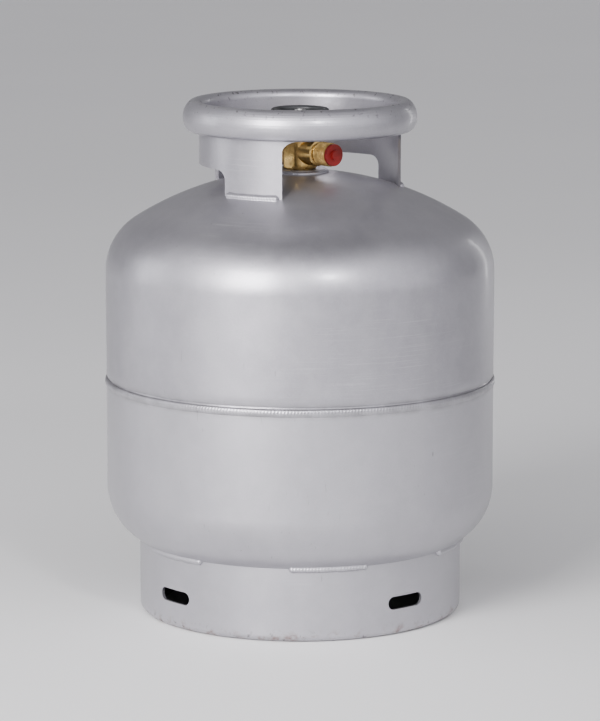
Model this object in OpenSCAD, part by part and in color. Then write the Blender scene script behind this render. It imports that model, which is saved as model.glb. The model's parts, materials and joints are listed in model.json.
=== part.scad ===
// Refillable steel LPG cylinder of the squat 13 kg class.
// Two deep-drawn half shells meet at a girth weld. A low collar with a fat rolled rim stands on
// three legs around a hand-wheel valve with its own relief valve, and a foot ring carries it all.
// Millimetres, +Z up, floor at z = 0, vessel axis at x = y = 0, gas outlet towards -Y.

/* [Vessel] */
// Outside diameter of the vessel
body_d = 360; // [300:1:400]
// Sheet thickness of the half shells
wall = 3; // [2.4:0.1:4]
// Height of the girth weld above the floor
seam_z = 218; // [200:1:240]
// Height from the girth weld to the crown of either half
half_h = 192; // [180:1:210]
// Height of the weld bead over the vessel wall
weld_proud = 1.5; // [1:0.1:3]

/* [Collar] */
// Height of the rim over the floor
rim_z = 476; // [460:1:500]
// Inside radius of the collar wall
collar_in_r = 90.5; // [85:0.5:100]
// Sheet thickness of the collar
collar_wall = 2.5; // [2:0.1:4]
// Widest radius of the rolled rim
roll_out_r = 108; // [104:0.5:112]
// Half angle of the valve window, from the front
window_half_angle = 50; // [40:1:60]
// Half angle of each collar leg
leg_half_angle = 18.5; // [12:0.5:24]
// Top of the hand holes over the floor
hand_hole_top = 417.5; // [414:0.5:426]

/* [Foot ring] */
// Outside radius of the foot ring
foot_r = 150; // [130:1:152]
// Sheet thickness of the foot ring
foot_wall = 3; // [2:0.1:4]
// Inside radius of the flange that the cylinder stands on
foot_flange_r = 130; // [120:1:138]

/* [Valve] */
// Radius of the left-hand outlet thread, W21.8 x 1/14
outlet_r = 10.9; // [8:0.1:14]
// Length of the outlet thread
outlet_thread_len = 18; // [14:1:22]
// Radius of the handwheel
wheel_r = 27; // [22:1:30]
// Lift of the lower spindle at full opening
valve_lift = 3.375; // [2:0.125:3.5]

/* [Show] */
// Sub-part to draw

/* [Hidden] */
$fn = 160;
eps = 1;
small_fn = 64;

// Vessel: a spherical crown, a toroidal knuckle and a straight part, tangent to each other
body_r = body_d / 2;
crown_r = 0.8 * body_d;
knuckle_r = 0.154 * body_d;
knuckle_x = body_r - knuckle_r;
tangent_angle = asin(knuckle_x / (crown_r - knuckle_r));
knuckle_steps = 20;
crown_steps = 24;
crown_y = half_h - crown_r;
knuckle_y = crown_y + (crown_r - knuckle_r) * cos(tangent_angle);
crown_z = seam_z + crown_y;
apex_z = seam_z + half_h;
base_z = seam_z - half_h;

// Girth joint: the lower half steps inwards and slips 12 mm inside the upper one
upper_edge = 3;
joggle_top = -1.5;
joggle_bottom = -4.5;
lip_top = 14;
lip_gap = 0.1;
weld_half = 4.5;
weld_mid = -1.5;
weld_r = (weld_half * weld_half + weld_proud * weld_proud) / (2 * weld_proud);
weld_spread = asin(weld_half / weld_r);
weld_steps = 12;

// Fillet welds
fillet_steps = 8;
weld_lift = 0.02;

// Collar: front is at angle 0, towards -Y
collar_out_r = collar_in_r + collar_wall;
roll_top_r = 7;
roll_bottom_r = 6;
roll_dip = 15.5;
roll_side_z = rim_z - roll_dip;
roll_top_x = collar_in_r + roll_top_r;
roll_top_z = rim_z - roll_top_r;
roll_rise = roll_top_z - roll_side_z;
roll_run = roll_out_r - roll_top_x;
roll_side_r = (roll_run * roll_run + roll_rise * roll_rise - roll_top_r * roll_top_r)
    / (2 * (roll_run - roll_top_r));
roll_side_x = roll_out_r - roll_side_r;
roll_top_angle = atan2(roll_rise, roll_top_x - roll_side_x);
roll_tuck_angle = 30;
roll_bottom_x = roll_side_x + (roll_side_r - roll_bottom_r) * cos(roll_tuck_angle);
roll_bottom_z = roll_side_z - (roll_side_r - roll_bottom_r) * sin(roll_tuck_angle);
roll_end_angle = 140;
roll_steps = 12;
window_top = 447;
window_corner = 10;
hand_corner = 9;
corner_steps = 8;
window_low = 380;
side_leg = window_half_angle + leg_half_angle;
hand_start = window_half_angle + 2 * leg_half_angle;
hand_end = 180 - leg_half_angle;
hand_mid = (hand_start + hand_end) / 2;
hand_half = (hand_end - hand_start) / 2;
leg_weld_r = 4;
leg_weld_trim = 1.5;

// Data plate on the rear leg
plate_half_angle = 13;
plate_z0 = 404;
plate_h = 27;
plate_t = 0.8;
plate_gap = 0.05;
rivet_r = 1.6;
rivet_head_r = 3;
rivet_head_t = 1.2;
rivet_angle = 10.8;
rivet_edge = 4;

// Foot ring
foot_bend_r = 6;
foot_steps = 8;
foot_slot_w = 40;
foot_slot_h = 12;
foot_slot_z = 30;
foot_slots = 4;
foot_weld_r = 4;
foot_stitches = 6;
foot_stitch_half = 14;

// Boss and taper thread
boss_r = 23.9;
boss_top = apex_z + 2;
boss_h = 16;
boss_weld_r = 2.9;
boss_hole_r = 24;
taper_r = 12.5;
taper_slope = 1 / 32;
taper_gap = 0.03;
shank_low = 2;

// Valve stack, from the seat upwards
seat_z = boss_top + 15;
inlet_r = 4;
nozzle_r = 5.6;
chamber_r = 9.5;
chamber_low = seat_z - 2;
carrier_bore_z = seat_z + 6;
carrier_bore_r = 8;
bonnet_bore_z = seat_z + 12;
bonnet_bore_r = 11;
body_top = seat_z + 18;
body_bottom = boss_top + 0.5;
barrel_r = 15.5;
barrel_flat = 14;
seal_t = 0.8;
hex_z = body_top + seal_t;
hex_h = 4.8;
hex_across = 27;
neck_top = hex_z + hex_h + 2.4;
neck_r = 7.5;
stem_r = 4.5;
stem_gap = 0.05;
cavity_r = 8.2;
cavity_top = body_top + 0.5;
stem_flange_r = 7.4;
stem_flange_t = 1.2;
stem_flange_z = cavity_top - 0.2 - stem_flange_t;
tang_t = 3;
tang_w = 9;
tang_low = seat_z + 9;
groove_r = 3.2;
groove_h = 1.8;
groove_zs = [hex_z + 1.2, hex_z + 4.2];
o_ring_r = 0.65;
shoulder_z = neck_top + 0.5;
square_w = 6;
square_gap = 0.1;
hub_h = 8;
hub_r = 8.5;
washer_t = 1;
nut_h = 4.2;
nut_across = 10;
stud_r = 2.95;
stud_over = 0.8;

// Lower spindle with its rubber disc
carrier_r = 7.93;
carrier_cup_r = 7.6;
cup_low = seat_z + 1;
cup_high = carrier_bore_z - 0.5;
carrier_top = carrier_bore_z + 5.5;
disc_r = 6.3;
disc_recess_r = 6.4;
disc_recess_top = seat_z + 3.2;
disc_top = seat_z + 3.1;
seat_gap = 0.02;
slot_low = seat_z + 5.4;
slot_gap = 0.2;

// Handwheel
wheel_low = shoulder_z - 2;
wheel_high = shoulder_z + 14.5;
wheel_rim_t = 6;
wheel_round = 2.5;
web_z = shoulder_z + 3.5;
web_t = 3;
scallops = 10;
scallop_r = 4.2;
scallop_depth = 1.6;
web_holes = 5;
web_hole_r = 3.4;
web_hole_at = 14.6;

// Outlet
outlet_z = boss_top + 16.5;
outlet_arm_r = 12;
outlet_arm_end = 28;
outlet_tip = outlet_arm_end + outlet_thread_len;
outlet_socket_r = 7.5;
outlet_socket_l = 10;
outlet_bore_r = 3.5;
plug_shank_r = 7.42;
plug_head_r = 10;
plug_head_t = 2.5;
plug_grip_r = 4.5;
plug_grip_l = 3;
plug_gap = 0.3;
outlet_seal_in = 4;
outlet_seal_t = 1.6;

// Relief valve, towards +Y
relief_z = boss_top + 9.8;
relief_arm_r = 8.8;
relief_end = 38;
relief_bore_r = 6.5;
relief_floor = 13;
relief_nozzle_t = 1;
relief_nozzle_r = 3.6;
relief_port_r = 1.8;
poppet_r = 6.42;
poppet_low = 15;
poppet_high = 19;
poppet_stem_r = 1.92;
poppet_stem_end = 32.5;
relief_seal_r = 4.8;
relief_seal_high = 16;
spring_mean_r = 4.2;
spring_wire_r = 0.5;
spring_turns = 5;
spring_steps = 16;
spring_sides = 8;
adjuster_low = 28;
adjuster_t = 4;
adjuster_r = 6.45;
adjuster_bore_r = 2;
adjuster_vents = 4;
adjuster_vent_r = 1.1;
adjuster_vent_at = 4.2;
cap_shank_low = 35.4;
cap_head_t = 2;
cap_head_r = 8.4;

silver = [0.72, 0.72, 0.74];
weld_grey = [0.62, 0.62, 0.65];
brass = [0.78, 0.62, 0.28];
zinc = [0.66, 0.67, 0.68];
black = [0.12, 0.12, 0.13];
red = [0.62, 0.1, 0.08];

// ---------------------------------------------------------------- helpers

// Points along an arc, from angle a0 to a1
function arc(x, y, r, a0, a1, steps) = [
    for (i = [0 : steps])
        let (a = a0 + (a1 - a0) * i / steps)
        [x + r * cos(a), y + r * sin(a)]
];

// Section with all four corners rounded
module round_rect(x, y, w, h, r) {
    translate([x + r, y]) square([w - 2 * r, h]);
    translate([x, y + r]) square([w, h - 2 * r]);
    for (i = [0, 1], j = [0, 1])
        translate([x + r + i * (w - 2 * r), y + r + j * (h - 2 * r)])
            circle(r, $fn = small_fn);
}

// Turns a section through a sector; angles are counted from the front, -Y
module sector(mid, half) {
    rotate([0, 0, mid - half - 90])
        rotate_extrude(angle = 2 * half)
            children();
}

// Points its children along a radius at an angle from the front
module radial(angle) {
    rotate([0, 0, angle - 90])
        rotate([0, 90, 0])
            children();
}

module along_front(z) {
    translate([0, 0, z]) rotate([90, 0, 0]) children();
}

module along_rear(z) {
    translate([0, 0, z]) rotate([-90, 0, 0]) children();
}

module tube(r_out, r_in, h) {
    difference() {
        cylinder(h = h, r = r_out);
        translate([0, 0, -eps]) cylinder(h = h + 2 * eps, r = r_in);
    }
}

module hexagon(across, h) {
    cylinder(h = h, r = across / sqrt(3), $fn = 6);
}

function taper_at(z) = taper_r + (z - boss_top + boss_h) * taper_slope;

// ---------------------------------------------------------------- vessel

// Section of one half, weld plane at y = 0, crown upwards, open below and at the axis
function half_outline(inset) = concat(
    [[body_r - inset, knuckle_y]],
    arc(
        knuckle_x, knuckle_y, knuckle_r - inset,
        0, 90 - tangent_angle, knuckle_steps
    ),
    arc(0, crown_y, crown_r - inset, 90 - tangent_angle, 90, crown_steps)
);

function reversed(list) = [for (i = [len(list) - 1 : -1 : 0]) list[i]];

module head_section(start) {
    polygon(concat(
        [[body_r, start]],
        half_outline(0),
        reversed(half_outline(wall)),
        [[body_r - wall, start]]
    ));
}

module upper_shell() {
    color(silver)
        translate([0, 0, seam_z])
            rotate_extrude()
                difference() {
                    head_section(upper_edge);
                    translate([-eps, 0]) square([boss_hole_r + eps, half_h + eps]);
                }
}

// The lower half is the mirror image, with a stepped lip that slips inside the upper half
module lower_section() {
    lip_r = body_r - wall - lip_gap;
    polygon(concat(
        [
            [lip_r - wall, lip_top],
            [lip_r, lip_top],
            [lip_r, joggle_top],
            [body_r, joggle_bottom]
        ],
        [for (p = half_outline(0)) [p[0], -p[1]]],
        [for (p = reversed(half_outline(wall))) [p[0], -p[1]]],
        [
            [body_r - wall, joggle_bottom - 1],
            [lip_r - wall, joggle_top - 1]
        ]
    ));
}

module lower_shell() {
    color(silver)
        translate([0, 0, seam_z])
            rotate_extrude() lower_section();
}

module girth_weld() {
    color(weld_grey)
        translate([0, 0, seam_z])
            rotate_extrude() {
                polygon(concat(
                    arc(
                        body_r + weld_proud - weld_r, weld_mid, weld_r,
                        -weld_spread, weld_spread, weld_steps
                    ),
                    [
                        [body_r, upper_edge],
                        [body_r - wall - lip_gap, upper_edge],
                        [body_r - wall - lip_gap, joggle_top],
                        [body_r, joggle_bottom]
                    ]
                ));
            }
}

module valve_boss() {
    low = boss_top - boss_h;
    color(silver)
        difference() {
            translate([0, 0, low]) cylinder(h = boss_h, r = boss_r);
            translate([0, 0, low - eps])
                cylinder(
                    h = boss_h + 2 * eps,
                    r1 = taper_at(low - eps) + taper_gap,
                    r2 = taper_at(boss_top + eps) + taper_gap
                );
        }
}

// Section of a fillet weld between an upright wall of radius r and a crown centred at height
// mid; side is 1 on top of the crown and -1 under it
module crown_fillet(r, size, mid, side) {
    corner = sqrt(crown_r * crown_r - r * r);
    toe = sqrt(crown_r * crown_r - (r + size) * (r + size));
    toe_angle = atan2(toe - corner, size);
    polygon(concat(
        [[r, mid + side * (corner + weld_lift)]],
        [
            for (p = arc(r, corner + weld_lift, size, toe_angle, 90, fillet_steps))
                [p[0], mid + side * p[1]]
        ]
    ));
}

module boss_weld() {
    color(weld_grey)
        rotate_extrude() crown_fillet(boss_r, boss_weld_r, crown_z, 1);
}

// ---------------------------------------------------------------- collar

// The sheet's face at a depth of inset: up the wall, over the top, down the side and under
function roll_outline(inset) = concat(
    arc(roll_top_x, roll_top_z, roll_top_r - inset, 180, 90, roll_steps),
    arc(roll_top_x, roll_top_z, roll_top_r - inset, 80, roll_top_angle, roll_steps / 2),
    arc(
        roll_side_x, roll_side_z, roll_side_r - inset,
        roll_top_angle - 3, 0, roll_steps / 2
    ),
    arc(
        roll_side_x, roll_side_z, roll_side_r - inset,
        -4, -roll_tuck_angle, roll_steps / 3
    ),
    arc(
        roll_bottom_x, roll_bottom_z, roll_bottom_r - inset,
        -roll_tuck_angle - 10, -roll_end_angle, roll_steps
    )
);

module collar_section() {
    difference() {
        polygon(concat(
            [[collar_in_r, crown_z + crown_r / 2]],
            roll_outline(0),
            reversed(roll_outline(collar_wall)),
            [[collar_out_r, crown_z + crown_r / 2]]
        ));
        translate([0, crown_z]) circle(crown_r);
    }
}

// Opening punched straight through the collar wall, its two top corners rounded
module collar_window(mid, half, top, corner) {
    reach = collar_out_r * sin(half);
    inner = collar_in_r * cos(half) - 12;
    side = concat(
        [[window_low, reach]],
        [for (p = arc(top - corner, reach - corner, corner, 90, 0, corner_steps)) p]
    );
    radial(mid)
        translate([0, 0, inner])
            linear_extrude(height = collar_out_r + 12 - inner)
                polygon(concat(
                    [for (p = side) [-p[0], p[1]]],
                    [for (p = reversed(side)) [-p[0], -p[1]]]
                ));
}

module collar() {
    color(silver)
        difference() {
            rotate([0, 0, side_leg + 90]) rotate_extrude() collar_section();
            collar_window(0, window_half_angle, window_top, window_corner);
            collar_window(hand_mid, hand_half, hand_hole_top, hand_corner);
            collar_window(-hand_mid, hand_half, hand_hole_top, hand_corner);
            rivet_places() cylinder(h = 4 * collar_wall, r = rivet_r, $fn = small_fn);
        }
}

module collar_welds() {
    color(weld_grey)
        for (leg = [-side_leg, side_leg, 180])
            sector(leg, leg_half_angle - leg_weld_trim)
                crown_fillet(collar_out_r, leg_weld_r, crown_z, 1);
}

// Places its children at the four rivets, starting inside the collar wall
module rivet_places() {
    for (side = [-1, 1], z = [plate_z0 + rivet_edge, plate_z0 + plate_h - rivet_edge])
        radial(180 + side * rivet_angle)
            translate([-z, 0, collar_in_r - collar_wall])
                children();
}

module data_plate() {
    color(zinc)
        difference() {
            sector(180, plate_half_angle)
                translate([collar_out_r + plate_gap, plate_z0])
                    square([plate_t, plate_h]);
            rivet_places() cylinder(h = 4 * collar_wall, r = rivet_r, $fn = small_fn);
        }
}

module plate_rivets() {
    shank = 2 * collar_wall + 1;
    color(zinc)
        rivet_places() {
            translate([0, 0, collar_wall - rivet_head_t - 0.2])
                cylinder(h = rivet_head_t, r = rivet_head_r, $fn = small_fn);
            translate([0, 0, collar_wall - rivet_head_t])
                cylinder(h = shank, r = rivet_r - plate_gap, $fn = small_fn);
            translate([0, 0, 2 * collar_wall + plate_t + 2 * plate_gap])
                cylinder(h = rivet_head_t, r = rivet_head_r, $fn = small_fn);
        }
}

// ---------------------------------------------------------------- foot ring

module foot_section() {
    bottom_crown_z = base_z + crown_r;
    high = base_z + crown_r / 4;
    difference() {
        polygon(concat(
            [[foot_flange_r, foot_wall], [foot_flange_r, 0]],
            arc(foot_r - foot_bend_r, foot_bend_r, foot_bend_r, -90, 0, foot_steps),
            [[foot_r, high], [foot_r - foot_wall, high]],
            arc(
                foot_r - foot_bend_r, foot_bend_r, foot_bend_r - foot_wall,
                0, -90, foot_steps
            )
        ));
        translate([0, bottom_crown_z]) circle(crown_r);
    }
}

module foot_slot() {
    span = foot_slot_w - foot_slot_h;
    radius = foot_slot_h / 2;
    inner = foot_r - 12;
    translate([-foot_slot_z - radius, -span / 2, inner]) cube([foot_slot_h, span, 24]);
    for (side = [-1, 1])
        translate([-foot_slot_z, side * span / 2, inner])
            cylinder(h = 24, r = radius, $fn = small_fn);
}

module foot_ring() {
    color(silver)
        difference() {
            rotate_extrude() foot_section();
            for (i = [0 : foot_slots - 1])
                radial(i * 360 / foot_slots) foot_slot();
        }
}

module foot_ring_welds() {
    color(weld_grey)
        for (i = [0 : foot_stitches - 1])
            sector((i + 0.5) * 360 / foot_stitches, foot_stitch_half)
                crown_fillet(foot_r, foot_weld_r, base_z + crown_r, -1);
}

// ---------------------------------------------------------------- valve

module valve_body_outside() {
    low = boss_top - boss_h - shank_low;
    translate([0, 0, low])
        cylinder(h = body_bottom - low, r1 = taper_at(low), r2 = taper_at(body_bottom));
    intersection() {
        translate([0, 0, body_bottom]) cylinder(h = body_top - body_bottom, r = barrel_r);
        translate([-barrel_flat, -2 * barrel_r, body_bottom - eps])
            cube([2 * barrel_flat, 4 * barrel_r, body_top - body_bottom + 2 * eps]);
    }
    along_front(outlet_z) {
        cylinder(h = outlet_arm_end, r = outlet_arm_r);
        cylinder(h = outlet_tip, r = outlet_r);
    }
    along_rear(relief_z) cylinder(h = relief_end, r = relief_arm_r);
}

module valve_body_bores() {
    low = boss_top - boss_h - shank_low;
    translate([0, 0, low - eps]) cylinder(h = seat_z - low + 2 * eps, r = inlet_r);
    translate([0, 0, chamber_low]) tube(chamber_r, nozzle_r, seat_z - chamber_low);
    translate([0, 0, seat_z]) cylinder(h = carrier_bore_z - seat_z, r = chamber_r);
    translate([0, 0, carrier_bore_z - eps])
        cylinder(h = bonnet_bore_z - carrier_bore_z + 2 * eps, r = carrier_bore_r);
    translate([0, 0, bonnet_bore_z])
        cylinder(h = body_top - bonnet_bore_z + eps, r = bonnet_bore_r);
    along_front(outlet_z) {
        translate([0, 0, nozzle_r + 1])
            cylinder(h = outlet_tip, r = outlet_bore_r);
        translate([0, 0, outlet_tip - outlet_socket_l])
            cylinder(h = outlet_socket_l + eps, r = outlet_socket_r);
    }
    along_rear(relief_z) {
        cylinder(h = relief_floor + eps, r = relief_port_r);
        translate([0, 0, relief_floor])
            tube(relief_bore_r, relief_nozzle_r, relief_nozzle_t);
        translate([0, 0, relief_floor + relief_nozzle_t])
            cylinder(h = relief_end - relief_floor, r = relief_bore_r);
    }
}

module valve_body() {
    color(brass)
        difference() {
            valve_body_outside();
            valve_body_bores();
        }
}

module bonnet() {
    shank_z = bonnet_bore_z + 0.3;
    color(brass)
        difference() {
            union() {
                translate([0, 0, shank_z])
                    cylinder(h = hex_z - shank_z, r = bonnet_bore_r - 0.05);
                translate([0, 0, hex_z]) hexagon(hex_across, hex_h);
                translate([0, 0, hex_z]) cylinder(h = neck_top - hex_z, r = neck_r);
            }
            translate([0, 0, shank_z - eps])
                cylinder(h = cavity_top - shank_z + eps, r = cavity_r);
            translate([0, 0, cavity_top - eps])
                cylinder(h = neck_top - cavity_top + 2 * eps, r = stem_r + stem_gap);
        }
}

module bonnet_seal() {
    color(zinc)
        translate([0, 0, body_top]) tube(hex_across / 2, bonnet_bore_r + 0.1, seal_t);
}

module spindle() {
    stud_end = shoulder_z + hub_h + washer_t + nut_h + stud_over;
    color(zinc)
        union() {
            translate([-tang_t / 2, -tang_w / 2, tang_low])
                cube([tang_t, tang_w, stem_flange_z - tang_low]);
            translate([0, 0, stem_flange_z]) cylinder(h = stem_flange_t, r = stem_flange_r);
            difference() {
                translate([0, 0, stem_flange_z])
                    cylinder(h = shoulder_z - stem_flange_z, r = stem_r);
                for (z = groove_zs)
                    translate([0, 0, z]) tube(stem_r + eps, groove_r, groove_h);
            }
            translate([-square_w / 2, -square_w / 2, shoulder_z - eps])
                cube([square_w, square_w, hub_h - 0.5 + eps]);
            translate([0, 0, shoulder_z])
                cylinder(h = stud_end - shoulder_z, r = stud_r, $fn = small_fn);
        }
}

module spindle_o_rings() {
    color(black)
        for (z = groove_zs)
            translate([0, 0, z + groove_h / 2])
                rotate_extrude()
                    translate([groove_r + o_ring_r + 0.02, 0])
                        circle(o_ring_r, $fn = small_fn);
}

module wheel_section() {
    round_rect(wheel_r - wheel_rim_t, wheel_low, wheel_rim_t, wheel_high - wheel_low, wheel_round);
    translate([0, web_z]) square([wheel_r - wheel_rim_t / 2, web_t]);
    translate([0, shoulder_z]) square([hub_r, hub_h]);
}

module handwheel() {
    color(black)
        difference() {
            rotate_extrude() wheel_section();
            translate([-square_w / 2 - square_gap, -square_w / 2 - square_gap, wheel_low])
                cube([square_w + 2 * square_gap, square_w + 2 * square_gap, 40]);
            for (i = [0 : scallops - 1])
                rotate([0, 0, (i + 0.5) * 360 / scallops])
                    translate([wheel_r + scallop_r - scallop_depth, 0, wheel_low - eps])
                        cylinder(h = wheel_high - wheel_low + 2 * eps, r = scallop_r);
            for (i = [0 : web_holes - 1])
                rotate([0, 0, i * 360 / web_holes])
                    translate([web_hole_at, 0, web_z - eps])
                        cylinder(h = web_t + 2 * eps, r = web_hole_r);
        }
}

module handwheel_washer() {
    color(zinc)
        translate([0, 0, shoulder_z + hub_h])
            tube(6.4, stud_r + 0.2, washer_t);
}

module handwheel_nut() {
    color(zinc)
        translate([0, 0, shoulder_z + hub_h + washer_t])
            difference() {
                hexagon(nut_across, nut_h);
                translate([0, 0, -eps])
                    cylinder(h = nut_h + 2 * eps, r = stud_r + stem_gap, $fn = small_fn);
            }
}

module seat_carrier() {
    color(brass)
        difference() {
            union() {
                translate([0, 0, cup_low])
                    cylinder(h = cup_high - cup_low + eps, r = carrier_cup_r);
                translate([0, 0, cup_high])
                    cylinder(h = carrier_top - cup_high, r = carrier_r);
            }
            translate([0, 0, cup_low - eps])
                cylinder(h = disc_recess_top - cup_low + eps, r = disc_recess_r);
            translate([-tang_t / 2 - slot_gap, -tang_w / 2 - slot_gap, slot_low])
                cube([tang_t + 2 * slot_gap, tang_w + 2 * slot_gap, carrier_top]);
        }
}

module seat_disc() {
    color(black)
        translate([0, 0, seat_z + seat_gap])
            cylinder(h = disc_top - seat_z - seat_gap, r = disc_r);
}

module outlet_plug() {
    shank_start = outlet_tip - outlet_socket_l + outlet_seal_t + plug_gap;
    head_start = outlet_tip + plug_gap;
    color(red)
        along_front(outlet_z) {
            translate([0, 0, shank_start])
                cylinder(h = head_start - shank_start + eps, r = plug_shank_r);
            translate([0, 0, head_start]) cylinder(h = plug_head_t, r = plug_head_r);
            translate([0, 0, head_start])
                cylinder(h = plug_head_t + plug_grip_l, r = plug_grip_r);
        }
}

module outlet_seal() {
    color(black)
        along_front(outlet_z)
            translate([0, 0, outlet_tip - outlet_socket_l])
                tube(outlet_socket_r - 0.05, outlet_seal_in, outlet_seal_t);
}

// ---------------------------------------------------------------- relief valve

module relief_poppet() {
    color(brass)
        along_rear(relief_z) {
            difference() {
                translate([0, 0, poppet_low])
                    cylinder(h = poppet_high - poppet_low, r = poppet_r);
                translate([0, 0, poppet_low - eps])
                    cylinder(h = relief_seal_high - poppet_low + eps + 0.1, r = relief_seal_r + 0.05);
            }
            translate([0, 0, poppet_high - eps])
                cylinder(h = poppet_stem_end - poppet_high + eps, r = poppet_stem_r);
        }
}

module relief_seal() {
    start = relief_floor + relief_nozzle_t + seat_gap;
    color(black)
        along_rear(relief_z)
            translate([0, 0, start])
                cylinder(h = relief_seal_high - start, r = relief_seal_r);
}

// Points of a coil: rings of wire sides, one ring a step, rising evenly
function coil_points(mean, wire, rise, turns, steps, sides) = [
    for (i = [0 : turns * steps], j = [0 : sides - 1])
        let (
            a = 360 * i / steps,
            b = 360 * j / sides,
            r = mean + wire * cos(b)
        )
        [r * cos(a), r * sin(a), rise * i / (turns * steps) + wire * sin(b)]
];

module coil(mean, wire, rise, turns, steps, sides) {
    last = turns * steps;
    polyhedron(
        points = coil_points(mean, wire, rise, turns, steps, sides),
        faces = concat(
            [[for (j = [0 : sides - 1]) j]],
            [[for (j = [sides - 1 : -1 : 0]) last * sides + j]],
            [
                for (i = [0 : last - 1], j = [0 : sides - 1])
                    let (k = (j + 1) % sides)
                    [
                        i * sides + j,
                        (i + 1) * sides + j,
                        (i + 1) * sides + k,
                        i * sides + k
                    ]
            ]
        )
    );
}

module relief_spring() {
    low = poppet_high + spring_wire_r + 0.05;
    high = adjuster_low - spring_wire_r - 0.05;
    color(zinc)
        along_rear(relief_z)
            translate([0, 0, low])
                coil(
                    spring_mean_r, spring_wire_r, high - low,
                    spring_turns, spring_steps, spring_sides
                );
}

module relief_adjuster() {
    color(brass)
        along_rear(relief_z)
            translate([0, 0, adjuster_low])
                difference() {
                    cylinder(h = adjuster_t, r = adjuster_r);
                    translate([0, 0, -eps])
                        cylinder(h = adjuster_t + 2 * eps, r = adjuster_bore_r, $fn = small_fn);
                    for (i = [0 : adjuster_vents - 1])
                        rotate([0, 0, i * 360 / adjuster_vents])
                            translate([adjuster_vent_at, 0, -eps])
                                cylinder(
                                    h = adjuster_t + 2 * eps,
                                    r = adjuster_vent_r,
                                    $fn = small_fn
                                );
                }
}

module relief_cap() {
    color(red)
        along_rear(relief_z) {
            translate([0, 0, cap_shank_low])
                cylinder(h = relief_end + plug_gap + eps - cap_shank_low, r = poppet_r);
            translate([0, 0, relief_end + plug_gap])
                cylinder(h = cap_head_t, r = cap_head_r);
        }
}

// ---------------------------------------------------------------- sub-parts

upper_shell();
lower_shell();
girth_weld();
valve_boss();
boss_weld();
collar();
collar_welds();
data_plate();
plate_rivets();
foot_ring();
foot_ring_welds();
valve_body();
bonnet();
bonnet_seal();
spindle();
spindle_o_rings();
handwheel();
handwheel_washer();
handwheel_nut();
seat_carrier();
seat_disc();
outlet_plug();
outlet_seal();
relief_poppet();
relief_seal();
relief_spring();
relief_adjuster();
relief_cap();
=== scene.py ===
"""Looks for the LPG cylinder: smooth shells, rippled weld beads, cut threads, satin silver paint,
forged brass, moulded plastic, a pale floor and soft light. Meshes are drawn in millimetres in the
part's own frame, z up from the floor, and MM turns them into metres. Materials, lights and camera
are in metres."""

import json
import math

import bmesh
import bpy
from mathutils import Matrix, Vector, noise


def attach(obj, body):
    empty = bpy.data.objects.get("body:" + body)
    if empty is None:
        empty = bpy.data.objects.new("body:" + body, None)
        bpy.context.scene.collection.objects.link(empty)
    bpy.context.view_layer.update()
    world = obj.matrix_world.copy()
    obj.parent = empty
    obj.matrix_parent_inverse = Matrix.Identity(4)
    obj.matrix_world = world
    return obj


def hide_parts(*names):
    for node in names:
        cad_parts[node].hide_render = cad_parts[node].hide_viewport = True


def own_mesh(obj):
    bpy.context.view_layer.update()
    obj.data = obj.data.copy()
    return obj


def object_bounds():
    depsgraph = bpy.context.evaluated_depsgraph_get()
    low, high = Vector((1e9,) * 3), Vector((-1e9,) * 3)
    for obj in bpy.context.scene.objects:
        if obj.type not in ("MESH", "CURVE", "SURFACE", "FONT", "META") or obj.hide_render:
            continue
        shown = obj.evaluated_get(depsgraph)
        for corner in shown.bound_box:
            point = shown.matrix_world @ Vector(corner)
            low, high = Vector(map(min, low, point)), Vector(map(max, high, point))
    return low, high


MM = 0.001
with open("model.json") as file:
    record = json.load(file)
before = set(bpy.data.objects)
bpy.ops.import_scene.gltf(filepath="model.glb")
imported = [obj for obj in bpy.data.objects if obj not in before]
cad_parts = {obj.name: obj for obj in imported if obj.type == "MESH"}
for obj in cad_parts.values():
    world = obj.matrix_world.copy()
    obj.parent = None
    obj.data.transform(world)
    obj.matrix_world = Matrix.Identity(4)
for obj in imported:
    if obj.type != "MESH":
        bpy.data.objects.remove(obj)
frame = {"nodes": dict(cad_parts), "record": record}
cad_box = [list(v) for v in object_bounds()]
nodes = frame["nodes"]

# ---------------------------------------------------------------- sizes

BODY_R = 180.0
WALL = 3.0
SEAM = 218.0
HALF = 192.0
CROWN = 288.0
KNUCKLE = 55.44
KNUCKLE_X = BODY_R - KNUCKLE
TANGENT = math.degrees(math.asin(KNUCKLE_X / (CROWN - KNUCKLE)))
CROWN_Y = HALF - CROWN
KNUCKLE_Y = CROWN_Y + (CROWN - KNUCKLE) * math.cos(math.radians(TANGENT))
CROWN_Z = SEAM + CROWN_Y
APEX = SEAM + HALF
BASE = SEAM - HALF
BOSS_TOP = APEX + 2
OUTLET_Z = BOSS_TOP + 16.5
RELIEF_Z = BOSS_TOP + 9.8
BODY_TOP = BOSS_TOP + 33
GIRTH_RISE = 1.3
BOSS_R = 24.0
COLLAR_R = 93.0
FOOT_R = 150.0
LEG_ANGLES = (-68.5, 68.5, 180.0)
LEG_WELD_SWEEP = 34
FOOT_WELD_COUNT = 6
FOOT_WELD_SWEEP = 28
VERY_SMALL = 1e-6


# ---------------------------------------------------------------- mesh helpers


def arc(x, y, r, a0, a1, steps):
    """Points along an arc, angles in degrees."""
    turn = [math.radians(a0 + (a1 - a0) * i / steps) for i in range(steps + 1)]
    return [(x + r * math.cos(t), y + r * math.sin(t)) for t in turn]


def line(p, q, steps):
    """Points from p to q, both ends included."""
    return [
        (p[0] + (q[0] - p[0]) * i / steps, p[1] + (q[1] - p[1]) * i / steps)
        for i in range(steps + 1)
    ]


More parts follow.
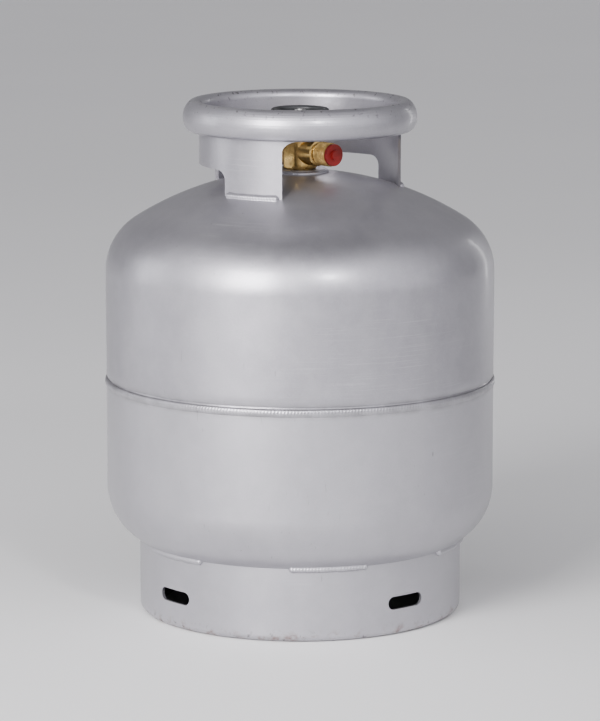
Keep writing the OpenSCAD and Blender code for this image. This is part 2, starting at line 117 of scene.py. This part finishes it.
def finish_mesh(name, bm, body, material, replaced=(), sharp=35.0):
    """Turns a bmesh into a smooth-shaded piece that rides on a body."""
    bmesh.ops.remove_doubles(bm, verts=bm.verts, dist=1e-7)
    bmesh.ops.recalc_face_normals(bm, faces=bm.faces)
    mesh = bpy.data.meshes.new(name)
    bm.to_mesh(mesh)
    bm.free()
    mesh.shade_smooth()
    mesh.set_sharp_from_angle(angle=math.radians(sharp))
    mesh.materials.append(material)
    piece = bpy.data.objects.new(name, mesh)
    bpy.context.scene.collection.objects.link(piece)
    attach(piece, body)
    if replaced:
        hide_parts(*replaced)
    return piece


def revolve(bm, loop, segments, start=0.0, sweep=360.0, warp=None, place=None):
    """Turns a closed (r, z) loop about +Z. warp moves a point by its angle; place moves the whole."""
    full = abs(sweep - 360.0) < VERY_SMALL
    rows = segments if full else segments + 1
    rings = []
    for i in range(rows):
        angle = math.radians(start + sweep * i / segments)
        ring = []
        for j, (r, z) in enumerate(loop):
            if warp:
                r, z = warp(r, z, angle, j)
            point = Vector((r * math.cos(angle) * MM, r * math.sin(angle) * MM, z * MM))
            ring.append(bm.verts.new(place @ point if place else point))
        rings.append(ring)
    count = len(loop)
    for i in range(rows if full else rows - 1):
        near, far = rings[i], rings[(i + 1) % rows]
        for j in range(count):
            k = (j + 1) % count
            bm.faces.new((near[j], far[j], far[k], near[k]))
    if not full:
        bm.faces.new(rings[0])
        bm.faces.new(list(reversed(rings[-1])))
    return rings


def wave(x, y, z, size, seed):
    """Smooth noise from -1 to 1 that changes over about size millimetres."""
    return noise.noise(Vector((x / size + seed, y / size, z / size)))


# ---------------------------------------------------------------- materials


class Look:
    """A Principled material and a few short ways to add procedural nodes to it."""

    def __init__(self, name):
        self.material = bpy.data.materials.new(name)
        self.material.use_nodes = True
        self.tree = self.material.node_tree
        self.shader = next(n for n in self.tree.nodes if n.type == "BSDF_PRINCIPLED")
        self.where = self.tree.nodes.new("ShaderNodeTexCoord").outputs["Object"]

    def add(self, kind, **settings):
        node = self.tree.nodes.new(kind)
        for key, value in settings.items():
            setattr(node, key, value)
        return node

    def join(self, source, target):
        self.tree.links.new(source, target)

    def put(self, source, target):
        if isinstance(source, (int, float, tuple)):
            target.default_value = source
        else:
            self.join(source, target)

    def noise(self, scale, detail=3.0, rough=0.5, stretch=None, distort=0.0):
        node = self.add("ShaderNodeTexNoise")
        node.inputs["Scale"].default_value = scale
        node.inputs["Detail"].default_value = detail
        node.inputs["Roughness"].default_value = rough
        node.inputs["Distortion"].default_value = distort
        spot = self.where
        if stretch:
            mapping = self.add("ShaderNodeMapping")
            mapping.inputs["Scale"].default_value = stretch
            self.join(spot, mapping.inputs["Vector"])
            spot = mapping.outputs["Vector"]
        self.join(spot, node.inputs["Vector"])
        return node.outputs["Fac"]

    def between(self, value, low, high, to_low=0.0, to_high=1.0):
        node = self.add("ShaderNodeMapRange", interpolation_type="SMOOTHSTEP")
        self.join(value, node.inputs["Value"])
        node.inputs["From Min"].default_value = low
        node.inputs["From Max"].default_value = high
        node.inputs["To Min"].default_value = to_low
        node.inputs["To Max"].default_value = to_high
        return node.outputs["Result"]

    def math(self, what, a, b=0.0):
        node = self.add("ShaderNodeMath", operation=what)
        self.put(a, node.inputs[0])
        self.put(b, node.inputs[1])
        return node.outputs["Value"]

    def mix(self, factor, a, b):
        node = self.add("ShaderNodeMix", data_type="RGBA")
        self.put(factor, node.inputs["Factor"])
        self.put(a, node.inputs["A"])
        self.put(b, node.inputs["B"])
        return node.outputs["Result"]

    def coat(self, base, mask, amount, color):
        """Lays a colour over the base where the mask is, at most as thickly as amount says."""
        return self.mix(self.math("MULTIPLY", mask, amount), base, color)

    def split(self, kind="Object"):
        """The x, y and z of the place or of the surface's own direction."""
        node = self.add("ShaderNodeSeparateXYZ")
        source = self.where
        if kind == "Normal":
            source = self.add("ShaderNodeNewGeometry").outputs["Normal"]
        self.join(source, node.inputs["Vector"])
        return node.outputs

    def bump(self, height, strength, distance, under=None):
        node = self.add("ShaderNodeBump")
        node.inputs["Strength"].default_value = strength
        node.inputs["Distance"].default_value = distance
        self.join(height, node.inputs["Height"])
        if under:
            self.join(under, node.inputs["Normal"])
        return node.outputs["Normal"]

    def done(self, color, rough, normal=None):
        self.join(color, self.shader.inputs["Base Color"])
        self.join(rough, self.shader.inputs["Roughness"])
        if normal:
            self.join(normal, self.shader.inputs["Normal"])
        return self.material


def silver_paint(name, weld=False):
    """Satin aluminium-flake paint: peel, mottling, rub marks, chips at the edges and fine dust."""
    seam, rim_top, worn_height = (SEAM - 1.5) * MM, cad_box[1][2], 0.014
    bare_steel, rust_brown = (0.15, 0.145, 0.145, 1), (0.17, 0.075, 0.035, 1)
    look = Look(name)
    shader = look.shader.inputs
    shader["Metallic"].default_value = 0.78
    shader["IOR"].default_value = 1.5
    shader["Coat Weight"].default_value = 0.3
    shader["Coat Roughness"].default_value = 0.13
    z = look.split()["Z"]
    up = look.split("Normal")["Z"]
    broad = look.noise(9.0, 4.0, 0.55)
    mottle = look.noise(70.0, 3.0, 0.6)
    flake = look.noise(2600.0, 1.0, 0.5)
    base = look.mix(
        look.between(broad, 0.3, 0.7), (0.362, 0.354, 0.384, 1), (0.408, 0.4, 0.43, 1)
    )
    base = look.coat(base, look.between(mottle, 0.35, 0.75), 0.35, (0.455, 0.448, 0.475, 1))
    base = look.coat(base, look.between(flake, 0.52, 0.75), 0.3, (0.7, 0.7, 0.72, 1))
    # painted light: the lower half is painted a little lighter below the seam, standing in for light
    # bounced up from the floor
    base = look.coat(base, look.between(z, seam, seam - 0.001), 0.3, (0.58, 0.575, 0.6, 1))
    # rub marks run round the vessel, in patches where it has been rolled and strapped
    lines = look.noise(1.0, 2.0, 0.4, stretch=(14.0, 14.0, 1400.0))
    patches = look.between(look.noise(7.5, 2.0, 0.5), 0.52, 0.68)
    rub = look.math("MULTIPLY", look.between(lines, 0.6, 0.7), patches)
    nicks = look.noise(1.0, 2.0, 0.5, stretch=(420.0, 420.0, 60.0), distort=0.6)
    nick = look.math(
        "MULTIPLY",
        look.between(nicks, 0.7, 0.76),
        look.between(look.noise(11.0, 2.0, 0.5), 0.5, 0.62),
    )
    base = look.coat(base, rub, 0.35, (0.62, 0.62, 0.63, 1))
    base = look.coat(base, nick, 0.55, (0.2, 0.195, 0.2, 1))
    # chips down to dull steel on the rolled rim, and a worn, faintly rusty foot
    rim = look.between(z, rim_top - worn_height, rim_top)
    foot = look.between(z, worn_height, 0.0)
    edge = look.math("MAXIMUM", rim, foot)
    chips = look.between(look.noise(210.0, 4.0, 0.6), 0.6, 0.66)
    chip = look.math("MULTIPLY", chips, look.math("MULTIPLY", edge, 0.8))
    base = look.mix(chip, base, bare_steel)
    rust = look.math(
        "MULTIPLY", look.between(look.noise(95.0, 5.0, 0.65), 0.5, 0.72), foot
    )
    base = look.coat(base, rust, 0.75, rust_brown)
    # dust settles on what faces up, and a painted shade darkens a band beside the seam
    dust = look.math(
        "MULTIPLY",
        look.between(up, 0.75, 1.0),
        look.between(look.noise(38.0, 5.0, 0.65), 0.35, 0.8),
    )
    base = look.coat(base, dust, 0.22, (0.46, 0.44, 0.42, 1))
    from_seam = look.math("ABSOLUTE", look.math("SUBTRACT", z, seam))
    # painted shade: a darker band within 8.5 mm of the seam, standing in for the shadow under the
    # upper shell's edge
    seam_shade = look.math(
        "MULTIPLY",
        look.between(from_seam, 0.0085, 0.004),
        look.between(look.noise(60.0, 4.0, 0.6), 0.25, 0.7),
    )
    base = look.coat(base, seam_shade, 0.4, (0.22, 0.215, 0.22, 1))
    rough = look.between(broad, 0.3, 0.7, 0.33, 0.4)
    for mask, rougher in ((rub, 0.12), (dust, 0.12), (chip, 0.2), (mottle, 0.05)):
        rough = look.math("ADD", rough, look.math("MULTIPLY", mask, rougher))
    peel = look.noise(430.0, 2.0, 0.5)
    normal = look.bump(peel, 0.35 if weld else 0.16, 0.0004)
    normal = look.bump(look.noise(28.0, 2.0, 0.4), 0.1, 0.0012, normal)
    normal = look.bump(
        look.math("SUBTRACT", 1.0, look.math("MAXIMUM", chip, nick)), 0.25, 0.0002, normal
    )
    return look.done(base, rough, normal)


def forged_brass(name):
    """Warm brass with a cast grain, tarnish in patches and faint lathe lines on its arms."""
    look = Look(name)
    look.shader.inputs["Metallic"].default_value = 1.0
    grain = look.noise(900.0, 3.0, 0.6)
    tarnish = look.between(look.noise(120.0, 4.0, 0.6), 0.38, 0.72)
    base = look.mix(tarnish, (0.66, 0.47, 0.2, 1), (0.4, 0.26, 0.11, 1))
    lathe = look.noise(1.0, 1.0, 0.4, stretch=(300.0, 3500.0, 300.0))
    base = look.coat(base, lathe, 0.2, (0.8, 0.62, 0.32, 1))
    rough = look.between(tarnish, 0.0, 1.0, 0.27, 0.46)
    normal = look.bump(grain, 0.22, 0.0002)
    return look.done(base, rough, normal)


def turned_steel(name, tone):
    """Plated steel with turning rings and darker spots."""
    look = Look(name)
    look.shader.inputs["Metallic"].default_value = 1.0
    rings = look.noise(1.0, 2.0, 0.5, stretch=(500.0, 500.0, 5000.0))
    spots = look.noise(170.0, 3.0, 0.55)
    low = tuple(c * 0.78 for c in tone) + (1,)
    base = look.mix(look.between(spots, 0.35, 0.75), tone + (1,), low)
    rough = look.between(rings, 0.3, 0.7, 0.24, 0.42)
    return look.done(base, rough, look.bump(rings, 0.18, 0.0001))


def brushed_plate(name):
    """Rolled aluminium with fine upright brushing and a few dull patches."""
    look = Look(name)
    look.shader.inputs["Metallic"].default_value = 1.0
    lines = look.noise(1.0, 2.0, 0.5, stretch=(1500.0, 1500.0, 45.0))
    patch = look.between(look.noise(45.0, 3.0, 0.5), 0.4, 0.7)
    base = look.mix(look.math("MULTIPLY", patch, 0.4), (0.6, 0.6, 0.61, 1), (0.48, 0.47, 0.46, 1))
    base = look.coat(base, lines, 0.18, (0.74, 0.74, 0.75, 1))
    rough = look.between(patch, 0.0, 1.0, 0.3, 0.42)
    return look.done(base, rough, look.bump(lines, 0.12, 0.0001))


def moulded_plastic(name, tone, worn, rough_low=0.38):
    """Fine-grained plastic with pale scuffs in patches."""
    look = Look(name)
    look.shader.inputs["IOR"].default_value = 1.48
    grain = look.noise(1700.0, 2.0, 0.6)
    cloud = look.noise(60.0, 3.0, 0.6)
    scuff = look.math(
        "MULTIPLY",
        look.between(look.noise(1.0, 3.0, 0.6, stretch=(900.0, 900.0, 120.0)), 0.62, 0.72),
        look.between(look.noise(85.0, 2.0, 0.5), 0.45, 0.65),
    )
    lighter = tuple(min(1.0, c * 1.5 + 0.01) for c in tone) + (1,)
    base = look.mix(look.between(cloud, 0.3, 0.75), tone + (1,), lighter)
    base = look.coat(base, scuff, 0.6, worn + (1,))
    rough = look.between(cloud, 0.3, 0.7, rough_low, rough_low + 0.12)
    rough = look.math("ADD", rough, look.math("MULTIPLY", scuff, 0.15))
    return look.done(base, rough, look.bump(grain, 0.2, 0.0001))


def rubber(name):
    """Dull black rubber, slightly cloudy."""
    look = Look(name)
    cloud = look.noise(300.0, 3.0, 0.6)
    base = look.mix(cloud, (0.018, 0.018, 0.019, 1), (0.05, 0.05, 0.05, 1))
    return look.done(
        base, look.between(cloud, 0.3, 0.7, 0.62, 0.8), look.bump(cloud, 0.2, 0.0001)
    )


PAINT = silver_paint("satin_silver_paint")
WELD_PAINT = silver_paint("painted_weld", weld=True)
BRASS = forged_brass("forged_brass")
STEEL = turned_steel("zinc_plated_steel", (0.62, 0.62, 0.61))
ALLOY = brushed_plate("plate_alloy")
WHEEL = moulded_plastic("wheel_plastic", (0.03, 0.031, 0.033), (0.12, 0.12, 0.12))
PLUG = moulded_plastic("plug_plastic", (0.21, 0.018, 0.014), (0.4, 0.14, 0.11), 0.4)
RUBBER = rubber("black_rubber")

SLOT_LOOK = {
    "silver_paint": PAINT,
    "plate_alloy": ALLOY,
    "brass": BRASS,
    "bright_steel": STEEL,
    "black_rubber": RUBBER,
    "wheel_plastic": WHEEL,
    "plug_plastic": PLUG,
}
slot_of = {s["node"]: s["material_slot"] for s in frame["record"]["subparts"]}
for name, node in nodes.items():
    node.data.materials.clear()
    node.data.materials.append(SLOT_LOOK[slot_of[name]])
    node.data.shade_smooth()
    node.data.set_sharp_from_angle(angle=math.radians(28))

# ---------------------------------------------------------------- shells


def half_outline(inset, axis_angle):
    """One half's face from its straight part to the crown, weld plane at 0."""
    side = [(BODY_R - inset, KNUCKLE_Y)]
    knuckle = arc(KNUCKLE_X, KNUCKLE_Y, KNUCKLE - inset, 0, 90 - TANGENT, 28)
    crown = arc(0, CROWN_Y, CROWN - inset, 90 - TANGENT, axis_angle, 34)
    return side + knuckle[1:] + crown[1:]


def drawn_sheet(r, z, angle, j):
    """The slight unevenness of a deep-drawn shell, under a fifth of a millimetre."""
    x, y = r * math.cos(angle), r * math.sin(angle)
    push = 0.13 * wave(x, y, z, 85.0, 3.0) + 0.05 * wave(x, y, z, 32.0, 9.0)
    return (r + push, z) if r > 1.0 else (r, z)


def shells():
    """The two drawn halves: the upper one is bored for the boss, and the lower has a joggled lip."""
    hole = 90 - math.degrees(math.asin(BOSS_R / CROWN))
    low = 3.0
    outer = line((BODY_R, low), (BODY_R, KNUCKLE_Y), 10)[:-1] + half_outline(0, hole)
    inner = half_outline(WALL, hole)
    inner.reverse()
    edge = [(BODY_R - WALL, low), (BODY_R - 0.9, low), (BODY_R - 0.25, low + 0.3)]
    outer[0] = (BODY_R, low + 1.0)
    loop = [(r, SEAM + z) for r, z in outer + inner + edge]
    bm = bmesh.new()
    revolve(bm, loop, 240, warp=drawn_sheet)
    finish_mesh("shell_upper", bm, "cylinder", PAINT, ("upper_shell",))

    lip = BODY_R - WALL - 0.1
    outer = line((BODY_R, -4.5), (BODY_R, -KNUCKLE_Y), 10)[:-1]
    outer += [(r, -z) for r, z in half_outline(0, 90)]
    inner = [(r, -z) for r, z in half_outline(WALL, 90)]
    inner.reverse()
    top = [(BODY_R - WALL, -5.5), (lip - WALL, -2.5), (lip - WALL, 14), (lip, 14), (lip, -1.5)]
    loop = [(max(r, 0.0), SEAM + z) for r, z in outer + inner + top]
    bm = bmesh.new()
    revolve(bm, loop, 240, warp=drawn_sheet)
    finish_mesh("shell_lower", bm, "cylinder", PAINT, ("lower_shell",))


# ---------------------------------------------------------------- weld beads


def bead(bm, section, mean_r, start, sweep, pitch, depth, wander, seed):
    """Lays a rippled bead round the axis. section gives (r, z, out_r, out_z, across) points."""
    across_points = len(section)
    length = math.radians(sweep) * mean_r
    steps = int(length / pitch * 7)
    full = abs(sweep - 360.0) < VERY_SMALL
    rows = steps if full else steps + 1
    rings = []
    for i in range(rows):
        part = i / steps
        angle = math.radians(start + sweep * part)
        gone = length * part
        cx, cy = math.cos(angle), math.sin(angle)
        drift = wave(cx * 40, cy * 40, 0, 5.0, seed) if full else wave(gone, 0, 0, 9.0, seed)
        end = 1.0 if full else min(1.0, min(part, 1 - part) * length / 2.5)
        swell = math.sqrt(max(end, 0.0)) * (1.0 + 0.12 * drift)
        ring = []
        for r, z, out_r, out_z, across in section:
            beat = gone / pitch - 0.55 * across * across + 0.12 * drift
            crest = 0.5 + 0.5 * math.cos(2 * math.pi * beat)
            high = math.hypot(out_r, out_z)
            push = swell - 1.0 - (depth / high if high > VERY_SMALL else 0.0) * (1 - crest**1.5)
            rr = r + out_r * push
            zz = z + out_z * push + wander * drift * (1 if out_r > out_z else 0)
            ring.append(bm.verts.new(Vector((rr * cx, rr * cy, zz)) * MM))
        rings.append(ring)
    for i in range(rows if full else rows - 1):
        near, far = rings[i], rings[(i + 1) % rows]
        for j in range(across_points):
            k = (j + 1) % across_points
            bm.faces.new((near[j], far[j], far[k], near[k]))
    if not full:
        bm.faces.new(rings[0])
        bm.faces.new(list(reversed(rings[-1])))


def girth_section():
    """A low crowned bead, with a fine groove left under the upper shell's edge."""
    points = []
    for i in range(13):
        across = -1 + 2 * i / 12
        high = GIRTH_RISE * (1 - abs(across) ** 2.2) ** 0.8
        points.append((BODY_R + high, SEAM - 2.55 + 3.45 * across, high, 0.0, across))
    points.append((BODY_R - 1.5, SEAM + 1.2, 0.0, 0.0, 1.0))
    points.append((BODY_R - 1.8, SEAM + 2.9, 0.0, 0.0, 1.0))
    points.append((BODY_R - 2.4, SEAM + 2.9, 0.0, 0.0, 1.0))
    points.append((BODY_R - 2.4, SEAM - 5.4, 0.0, 0.0, -1.0))
    return points


def fillet_section(r, size, mid, side):
    """A fillet between an upright wall at r and the crown; side is 1 above it and -1 below."""
    corner = math.sqrt(CROWN**2 - r * r)
    toe = math.sqrt(CROWN**2 - (r + size) ** 2)
    slope = math.degrees(math.atan2(toe - corner, size))
    points = []
    for i in range(10):
        part = i / 9
        turn = math.radians(slope + (90 - slope) * part)
        across = -1 + 2 * part
        bulge = size * (0.8 + 0.18 * (1 - across * across))
        bulge = size if i in (0, 9) else bulge
        out_r, out_z = bulge * math.cos(turn), bulge * math.sin(turn)
        points.append((r + out_r, mid + side * (corner + out_z), out_r, side * out_z, across))
    points.append((r - 0.3, mid + side * (corner + 0.1), 0.0, 0.0, 1.0))
    points.append((r - 0.3, mid + side * (corner - 0.6), 0.0, 0.0, -1.0))
    return points


def laid(name, node, runs):
    """One weld node's beads as one piece. Each run is what bead takes after the mesh."""
    bm = bmesh.new()
    for run in runs:
        bead(bm, *run)
    finish_mesh(name, bm, "cylinder", WELD_PAINT, (node,), 60)


def stitches(section, mean_r, middles, sweep, pitch, depth, seed):
    """Short beads of the same sweep, centred on the given angles from -Y."""
    return [
        (section, mean_r, middle - sweep / 2 - 90, sweep, pitch, depth, 0.0, seed + i)
        for i, middle in enumerate(middles)
    ]


def welds():
    laid("girth_bead", "girth_weld", [(girth_section(), BODY_R, 0, 360, 3.0, 0.2, 0.25, 1.5)])

    section = fillet_section(BOSS_R - 0.1, 2.9, CROWN_Z, 1)
    laid("boss_bead", "boss_weld", [(section, BOSS_R + 1, 0, 360, 2.4, 0.25, 0.0, 4.5)])

    leg = 4.0
    section = fillet_section(COLLAR_R, leg, CROWN_Z, 1)
    runs = stitches(section, COLLAR_R + leg / 2, LEG_ANGLES, LEG_WELD_SWEEP, 2.7, 0.3, 11.0)
    laid("leg_beads", "collar_welds", runs)

    section = fillet_section(FOOT_R, leg, BASE + CROWN, -1)
    middles = [(i + 0.5) * 360 / FOOT_WELD_COUNT for i in range(FOOT_WELD_COUNT)]
    runs = stitches(section, FOOT_R + leg / 2, middles, FOOT_WELD_SWEEP, 2.9, 0.32, 21.0)
    laid("foot_beads", "foot_ring_welds", runs)


# ---------------------------------------------------------------- valve body


def along(direction, z):
    """Places a piece turned about +Z so that it runs along -Y (-1) or +Y (1) at height z."""
    turn = Matrix.Rotation(math.radians(90 if direction < 0 else -90), 4, "X")
    return Matrix.Translation((0, 0, z * MM)) @ turn


def valve_body():
    """The forging: a flat-sided barrel with its stem, the threaded outlet and the relief arm."""
    bm = bmesh.new()
    flat = 14.0

    def forged(r, z, angle, j):
        across = abs(math.cos(angle))
        limit = flat / across if across > VERY_SMALL else 1e9
        soft = r if r < flat - 0.2 else -math.log(math.exp(-3 * r) + math.exp(-3 * limit)) / 3
        return min(soft, r), z

    low = BOSS_TOP + 0.5
    barrel = [
        (11.05, BODY_TOP), (14.6, BODY_TOP), (15.2, BODY_TOP - 0.3), (15.5, BODY_TOP - 0.9),
        (15.5, BODY_TOP - 12), (15.5, low + 8), (15.5, low + 1.2), (15.1, low + 0.4),
        (14.4, low), (13.0, low), (12.8, BOSS_TOP - 6), (12.45, BOSS_TOP - 18),
        (4.0, BOSS_TOP - 18), (4.0, BOSS_TOP), (11.05, BOSS_TOP + 2),
    ]
    revolve(bm, barrel, 128, warp=forged)

    # outlet: forged arm, thread relief, left-hand thread with rounded crests, open socket
    pitch, deep, first, last = 25.4 / 14, 1.1, 29.9, 45.0
    loop = [(0.0, 9.0), (12.0, 9.0), (12.0, 26.6), (11.8, 27.3), (11.1, 27.9), (9.9, 28.3)]
    loop += [(9.8, 28.8), (9.8, 29.3)]
    begin = len(loop)
    count = int((last - first) / pitch * 10)
    loop += [(10.9, first + (last - first) * i / count) for i in range(count + 1)]
    stop = len(loop)
    loop += [(9.95, 45.8), (9.6, 46.0), (7.9, 46.0), (7.5, 45.6), (7.5, 36.0), (3.6, 36.0)]
    loop += [(3.5, 35.8), (3.5, 20.0), (0.0, 20.0)]

    def thread(r, z, angle, j):
        if not begin <= j < stop:
            return r, z
        fade = min(1.0, (z - first) / 1.2, (last - z) / 1.0)
        turn = z / pitch + angle / (2 * math.pi)
        groove = (0.5 - 0.5 * math.cos(2 * math.pi * turn)) ** 1.3
        base = r if z > first + 1.2 else r - (first + 1.2 - z) * 0.75
        base = base if z < last - 1.0 else base - (z - last + 1.0) * 0.9
        return base - deep * groove * max(fade, 0.25), z

    revolve(bm, loop, 96, warp=thread, place=along(-1, OUTLET_Z))

    relief = [
        (0.0, 9.0), (8.8, 9.0), (8.8, 30.2), (8.45, 30.6), (8.45, 31.2), (8.8, 31.6),
        (8.8, 33.4), (8.45, 33.8), (8.45, 34.4), (8.8, 34.8), (8.8, 37.3), (8.3, 38.0),
        (6.8, 38.0), (6.5, 37.7), (6.5, 14.0), (3.6, 14.0), (1.8, 14.0), (1.8, 12.0), (0.0, 12.0),
    ]
    revolve(bm, relief, 72, place=along(1, RELIEF_Z))
    finish_mesh("valve_forging", bm, "cylinder", BRASS, ("valve_body",), 30)


# ---------------------------------------------------------------- relief spring


def relief_spring():
    """Round wire coil with closed ends, built at one fixed length; the real spring shortens towards
    the adjuster as the poppet lifts.
    """
    coil_r, wire_r, turns = 4.2, 0.5, 5.0
    low, high, closed_turns = 19.55, 27.45, 0.6
    sides, steps = 10, 320
    bm = bmesh.new()
    rings = []
    for i in range(steps + 1):
        part = i / steps
        turn = 2 * math.pi * turns * part
        rise = (part * turns - closed_turns) / (turns - 2 * closed_turns)
        y = low + (high - low) * min(max(rise, 0.0), 1.0)
        y = min(max(y, low + part * 1.2 * wire_r), high - (1 - part) * 1.2 * wire_r)
        out = Vector((math.cos(turn), 0, math.sin(turn)))
        ring = []
        for k in range(sides):
            a = 2 * math.pi * k / sides
            point = out * (coil_r + wire_r * math.cos(a)) + Vector((0, y + wire_r * math.sin(a), 0))
            ring.append(bm.verts.new((point + Vector((0, 0, RELIEF_Z))) * MM))
        rings.append(ring)
    for near, far in zip(rings, rings[1:]):
        for k in range(sides):
            m = (k + 1) % sides
            bm.faces.new((near[k], near[m], far[m], far[k]))
    bm.faces.new(rings[0])
    bm.faces.new(list(reversed(rings[-1])))
    piece = finish_mesh(
        "relief_coil", bm, "cylinder", STEEL, ("relief_spring",), 50
    )
    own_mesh(piece)


shells()
welds()
valve_body()
relief_spring()

# ---------------------------------------------------------------- stage


def floor_look():
    """Pale matt paper."""
    look = Look("floor_paper")
    tone = look.noise(1.3, 3.0, 0.5)
    base = look.mix(tone, (0.8, 0.8, 0.802, 1), (0.83, 0.828, 0.828, 1))
    fine = look.noise(260.0, 3.0, 0.6)
    return look.done(base, look.between(fine, 0.3, 0.7, 0.62, 0.72), look.bump(fine, 0.05, 0.0004))


def make_floor():
    """A wide sheet just under the part."""
    reach, gap = 40.0, 0.0002
    bm = bmesh.new()
    bmesh.ops.create_grid(bm, x_segments=8, y_segments=8, size=reach)
    mesh = bpy.data.meshes.new("floor")
    bm.to_mesh(mesh)
    bm.free()
    mesh.materials.append(floor_look())
    floor = bpy.data.objects.new("floor", mesh)
    floor.location = (0, 0, cad_box[0][2] - gap)
    bpy.context.scene.collection.objects.link(floor)


def softbox(name, place, aim, width, height, power, tint=(1, 1, 1)):
    """A rectangular lamp that the camera can't see. Sizes in metres, power in watts."""
    light = bpy.data.lights.new(name, "AREA")
    light.shape = "RECTANGLE"
    light.size, light.size_y = width, height
    light.energy = power
    light.color = tint
    lamp = bpy.data.objects.new(name, light)
    lamp.location = place
    lamp.rotation_mode = "QUATERNION"
    lamp.rotation_quaternion = (Vector(aim) - Vector(place)).to_track_quat("-Z", "Y")
    lamp.visible_camera = False
    bpy.context.scene.collection.objects.link(lamp)


# the camera: its turn about the vessel in degrees, its distance, eye height and aim, its lens in mm
VIEW_TURN = -40.0
AWAY = 3.343
EYE = 0.817
AIM_HEIGHT = 0.232
LENS = 182.0
SENSOR = 36.0
turn = math.radians(VIEW_TURN)
toward = Vector((math.sin(turn), -math.cos(turn), 0))
right = Vector((math.cos(turn), math.sin(turn), 0))


def spot(forward, side, height):
    """A place in metres from the vessel's axis: towards the camera, to its right, and up."""
    return toward * forward + right * side + Vector((0, 0, height))


def make_lights():
    """A key from the left, a small glint high on the right, an edge lamp behind and a cool fill."""
    middle = (0, 0, 0.25)
    softbox("glint", spot(2.2, 0.72, 1.6), (0, 0, 0.33), 0.3, 0.3, 11)
    softbox("key", spot(2.3, -1.35, 1.35), middle, 1.2, 1.5, 66, (1.0, 0.985, 0.985))
    softbox("edge_right", spot(-1.65, 1.4, 0.55), middle, 0.12, 1.1, 1.6)
    softbox("fill_left", spot(-0.4, -2.6, 0.8), middle, 1.0, 1.4, 7, (0.97, 0.98, 1.0))


def make_world():
    """Bright in front, dim behind and overhead, so that the dome stays dark."""
    world = bpy.data.worlds.new("studio")
    world.use_nodes = True
    tree = world.node_tree
    back = next(n for n in tree.nodes if n.type == "BACKGROUND")
    ray = tree.nodes.new("ShaderNodeTexCoord").outputs["Generated"]
    parts = tree.nodes.new("ShaderNodeSeparateXYZ")
    tree.links.new(ray, parts.inputs["Vector"])
    facing = tree.nodes.new("ShaderNodeVectorMath")
    facing.operation = "DOT_PRODUCT"
    tree.links.new(ray, facing.inputs[0])
    facing.inputs[1].default_value = toward

    def ease(value, low, high, to_low, to_high):
        node = tree.nodes.new("ShaderNodeMapRange")
        node.interpolation_type = "SMOOTHSTEP"
        tree.links.new(value, node.inputs["Value"])
        for key, number in zip(
            ("From Min", "From Max", "To Min", "To Max"), (low, high, to_low, to_high)
        ):
            node.inputs[key].default_value = number
        return node.outputs["Result"]

    around = ease(facing.outputs["Value"], -0.5, 0.7, 0.2, 1.0)
    upward = ease(parts.outputs["Z"], 0.7, 0.96, 1.0, 0.16)
    level = tree.nodes.new("ShaderNodeMath")
    level.operation = "MULTIPLY"
    tree.links.new(around, level.inputs[0])
    tree.links.new(upward, level.inputs[1])
    color = tree.nodes.new("ShaderNodeMix")
    color.data_type = "RGBA"
    tree.links.new(level.outputs["Value"], color.inputs["Factor"])
    color.inputs["A"].default_value = (0.0, 0.0, 0.0, 1)
    color.inputs["B"].default_value = (0.97, 0.962, 1.0, 1)
    tree.links.new(color.outputs["Result"], back.inputs["Color"])
    back.inputs["Strength"].default_value = 1.12
    bpy.context.scene.world = world


def make_camera():
    """Looks down a little, with the valve's outlet towards the right."""
    lens = bpy.data.cameras.new("camera")
    lens.sensor_width = SENSOR
    lens.lens = LENS
    lens.clip_end = 200.0
    camera = bpy.data.objects.new("camera", lens)
    camera.location = toward * AWAY + Vector((0, 0, EYE))
    camera.rotation_mode = "QUATERNION"
    aim = Vector((0, 0, AIM_HEIGHT))
    camera.rotation_quaternion = (aim - camera.location).to_track_quat("-Z", "Y")
    bpy.context.scene.collection.objects.link(camera)
    bpy.context.scene.camera = camera


make_floor()
make_lights()
make_world()
make_camera()
bpy.context.scene.view_settings.view_transform = "AgX"
bpy.context.scene.view_settings.look = "AgX - Medium High Contrast"
bpy.context.scene.view_settings.exposure = 0.25
